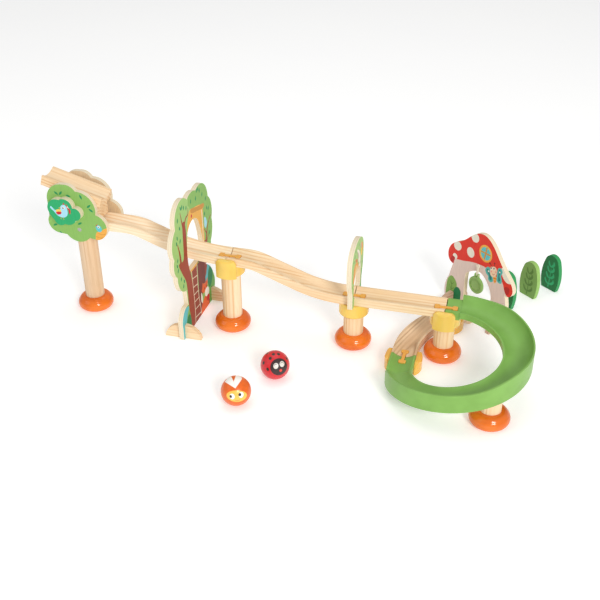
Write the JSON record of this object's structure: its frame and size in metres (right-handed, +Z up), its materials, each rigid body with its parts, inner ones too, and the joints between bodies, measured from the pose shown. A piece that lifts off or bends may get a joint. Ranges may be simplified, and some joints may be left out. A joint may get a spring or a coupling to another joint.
{
  "type": "wooden marble run",
  "caption": "Wooden marble run: towers, sloping grooved tracks, a plastic spiral, an exit ramp with a bell arch, leaf dominoes and rolling balls.",
  "frame": {"origin": "on the floor, at the centre of the underside of the start tower's foot", "axes": "+X from the start tower along the straight part of the run; +Y to the side the exit ramp turns to; +Z up"},
  "size_m": [0.8373, 0.4989, 0.2459],
  "materials": {
    "pine": "clear satin lacquer over straight pale grain",
    "dowel_wood": "bare turned dowel",
    "orange_plastic": "glossy moulded",
    "yellow_plastic": "glossy moulded",
    "green_plastic": "satin moulded",
    "ply_green": "printed and lacquered plywood with bare pale edges",
    "ply_dark_green": "printed and lacquered plywood with bare pale edges",
    "ply_red": "printed and lacquered plywood with bare pale edges",
    "ply_stem": "printed and lacquered plywood with bare pale edges",
    "bell_green": "glossy moulded",
    "hook_white": "natural moulded",
    "steel": "bright zinc plated",
    "orange_paint": "solid wood under gloss paint with a printed face",
    "red_paint": "solid wood under gloss paint with printed spots"
  },
  "bodies": {
    "run": {"start_tower_post": "pine", "tree_tower_post": "pine", "rabbit_tower_post": "pine", "spiral_tower_post": "pine", "spiral_prop_post": "pine", "upper_track": "pine", "middle_track": "pine", "straight_track": "pine", "curved_track": "pine", "exit_ramp": "pine", "start_chute": "pine", "head_block": "pine", "tree_cross_foot_front": "pine", "tree_cross_foot_rear": "pine", "head_dowels": "dowel_wood", "start_tower_foot": "orange_plastic", "tree_tower_foot": "orange_plastic", "rabbit_tower_foot": "orange_plastic", "spiral_tower_foot": "orange_plastic", "spiral_prop_foot": "orange_plastic", "tree_tower_connector": "yellow_plastic", "rabbit_tower_connector": "yellow_plastic", "spiral_tower_connector": "yellow_plastic", "front_floor_clip": "yellow_plastic", "rear_floor_clip": "yellow_plastic", "spiral": "green_plastic", "treetop_panel_front": "ply_green", "treetop_panel_rear": "ply_green", "rabbit_arch": "ply_green", "tree_panel": "ply_green", "bird_cloud": "ply_dark_green", "mushroom_panel": "ply_red", "mushroom_cross_foot_left": "ply_stem", "mushroom_cross_foot_right": "ply_stem", "bell_hook": "hook_white", "panel_screws": "steel"},
    "bell": {"bell_disc": "bell_green"},
    "leaf_1": {"leaf_domino_1": "ply_dark_green"},
    "leaf_2": {"leaf_domino_2": "ply_green"},
    "leaf_3": {"leaf_domino_3": "ply_dark_green"},
    "orange_ball": {"orange_ball": "orange_paint"},
    "ladybird_ball": {"ladybird_ball": "red_paint"}
  },
  "joints": [
    {"name": "bell_swing", "type": "hinge", "parent": "run", "child": "bell", "pos_m": [0.6371, 0.13825, 0.0765], "axis": [0.766, -0.6428, 0], "range_deg": [-60, 60]},
    {"name": "leaf_1_topple", "type": "hinge", "parent": "run", "child": "leaf_1", "pos_m": [0.69024, 0.18229, 0], "axis": [-0.766, 0.6428, 0], "range_deg": [0, 80]},
    {"name": "leaf_2_topple", "type": "hinge", "parent": "run", "child": "leaf_2", "pos_m": [0.7271, 0.22839, 0], "axis": [-0.766, 0.6428, 0], "range_deg": [0, 80]},
    {"name": "leaf_3_topple", "type": "hinge", "parent": "run", "child": "leaf_3", "pos_m": [0.76258, 0.26258, 0], "axis": [-0.766, 0.6428, 0], "range_deg": [0, 90]},
    {"name": "orange_ball_roll", "type": "hinge", "parent": "run", "child": "orange_ball", "pos_m": [0.3254, -0.2012, 0.0225], "axis": [0, 1, 0], "continuous": true},
    {"name": "ladybird_ball_roll", "type": "hinge", "parent": "run", "child": "ladybird_ball", "pos_m": [0.3623, -0.1236, 0.0225], "axis": [0, 1, 0], "continuous": true}
  ],
  "couplings": [
    {"joint": "leaf_2_topple", "follows": "leaf_1_topple", "ratio": 1},
    {"joint": "leaf_3_topple", "follows": "leaf_1_topple", "ratio": 1.12}
  ]
}
